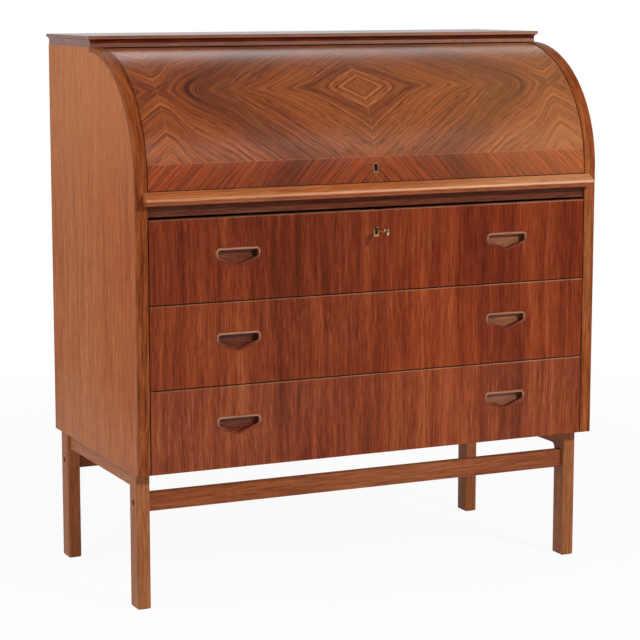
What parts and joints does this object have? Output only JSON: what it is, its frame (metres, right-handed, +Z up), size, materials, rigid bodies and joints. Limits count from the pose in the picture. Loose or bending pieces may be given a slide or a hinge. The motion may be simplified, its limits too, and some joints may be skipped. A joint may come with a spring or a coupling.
{
  "type": "cylinder writing desk",
  "caption": "Teak cylinder desk: a quarter-round lid turns back over a gallery as the writing slab is drawn, above long drawers with recessed pulls on a slim leg frame.",
  "frame": {"origin": "on the floor, under the middle of the overall box, the key counted in", "axes": "+X to the right as seen by someone at the desk's front, +Y from front to back, +Z up"},
  "size_m": [0.908, 0.496, 0.985],
  "materials": {
    "side_teak": "satin",
    "solid_teak": "satin",
    "top_teak": "satin",
    "rail_teak": "satin",
    "plywood": "satin",
    "inner_board": "satin",
    "leg_teak": "satin",
    "slab_teak": "satin",
    "strip_teak": "satin",
    "lid_teak": "satin",
    "cheek_teak": "satin",
    "drawer_teak": "satin",
    "drawer_box": "satin",
    "pull_teak": "satin",
    "gallery_teak": "satin",
    "brass": "polished",
    "steel": "satin"
  },
  "bodies": {
    "carcase": {"left_side": "side_teak", "right_side": "side_teak", "side_lippings": "solid_teak", "top_board": "top_teak", "slab_front_rail": "rail_teak", "back_panel": "plywood", "gallery_back": "plywood", "bottom_board": "inner_board", "slab_rear_rail": "inner_board", "slab_bearers": "inner_board", "drawer_runners": "inner_board", "front_left_leg": "leg_teak", "front_right_leg": "leg_teak", "rear_left_leg": "leg_teak", "rear_right_leg": "leg_teak", "leg_rails": "leg_teak", "front_stretcher": "leg_teak", "rear_stretcher": "leg_teak", "stretcher_bolts": "steel", "leg_rail_screws": "steel", "lid_pivot_pins": "steel", "lever_pivot_studs": "steel", "gallery_shelf": "gallery_teak", "gallery_ends": "gallery_teak", "gallery_boards": "gallery_teak", "gallery_dividers": "gallery_teak"},
    "slab": {"writing_slab": "slab_teak", "slab_strip": "strip_teak", "slab_yokes": "steel"},
    "lid": {"lid_shell": "lid_teak", "lid_cheeks": "cheek_teak", "lid_escutcheon": "brass", "lid_lock_case": "brass"},
    "lid_bolt": {"lid_lock_bolt": "brass"},
    "levers": {"link_levers": "steel"},
    "rods": {"link_rods": "steel"},
    "key": {"drawer_key": "brass"},
    "drawer_bolt": {"drawer_lock_bolt": "brass"},
    "left_inner_drawer": {"left_inner_drawer": "gallery_teak", "left_inner_knob": "pull_teak"},
    "right_inner_drawer": {"right_inner_drawer": "gallery_teak", "right_inner_knob": "pull_teak"},
    "lower_drawer": {"lower_drawer_front": "drawer_teak", "lower_drawer_sides": "drawer_box", "lower_drawer_bottom": "plywood", "lower_drawer_back": "drawer_box", "lower_drawer_pulls": "pull_teak"},
    "middle_drawer": {"middle_drawer_front": "drawer_teak", "middle_drawer_sides": "drawer_box", "middle_drawer_bottom": "plywood", "middle_drawer_back": "drawer_box", "middle_drawer_pulls": "pull_teak"},
    "upper_drawer": {"upper_drawer_front": "drawer_teak", "upper_drawer_sides": "drawer_box", "upper_drawer_bottom": "plywood", "upper_drawer_back": "drawer_box", "upper_drawer_pulls": "pull_teak", "drawer_escutcheon": "brass", "drawer_lock_case": "brass"}
  },
  "joints": [
    {"name": "slab_slide", "type": "slide", "parent": "carcase", "child": "slab", "axis": [0, -1, 0], "range_m": [0, 0.2]},
    {"name": "lid_turn", "type": "hinge", "parent": "carcase", "child": "lid", "pos_m": [0, 0.023, 0.74], "axis": [-1, 0, 0], "range_deg": [0, 74]},
    {"name": "lever_swing", "type": "hinge", "parent": "carcase", "child": "levers", "pos_m": [0, 0.083, 0.90416], "axis": [-1, 0, 0], "range_deg": [0, 74]},
    {"name": "rod_swing", "type": "hinge", "parent": "levers", "child": "rods", "pos_m": [0, 0.058, 0.90416], "axis": [1, 0, 0], "range_deg": [0, 74]},
    {"name": "lower_drawer_slide", "type": "slide", "parent": "carcase", "child": "lower_drawer", "axis": [0, -1, 0], "range_m": [0, 0.28]},
    {"name": "middle_drawer_slide", "type": "slide", "parent": "carcase", "child": "middle_drawer", "axis": [0, -1, 0], "range_m": [0, 0.28]},
    {"name": "upper_drawer_slide", "type": "slide", "parent": "carcase", "child": "upper_drawer", "axis": [0, -1, 0], "range_m": [0, 0.28]},
    {"name": "key_turn", "type": "hinge", "parent": "upper_drawer", "child": "key", "pos_m": [0, -0.21, 0.6472], "axis": [0, 1, 0], "range_deg": [0, 180]},
    {"name": "drawer_bolt_throw", "type": "slide", "parent": "upper_drawer", "child": "drawer_bolt", "axis": [0, 0, 1], "range_m": [0, 0.01]},
    {"name": "lid_bolt_throw", "type": "slide", "parent": "lid", "child": "lid_bolt", "axis": [0, 0, -1], "range_m": [0, 0.01]},
    {"name": "left_inner_drawer_slide", "type": "slide", "parent": "carcase", "child": "left_inner_drawer", "axis": [0, -1, 0], "range_m": [0, 0.11]},
    {"name": "right_inner_drawer_slide", "type": "slide", "parent": "carcase", "child": "right_inner_drawer", "axis": [0, -1, 0], "range_m": [0, 0.11]}
  ],
  "couplings": [
    {"joint": "lid_turn", "follows": "slab_slide", "rad_per_m": 6.4577},
    {"joint": "lever_swing", "follows": "slab_slide", "rad_per_m": 6.4577},
    {"joint": "rod_swing", "follows": "slab_slide", "rad_per_m": 6.4577},
    {"joint": "key_turn", "follows": "drawer_bolt_throw", "rad_per_m": 314.16}
  ]
}
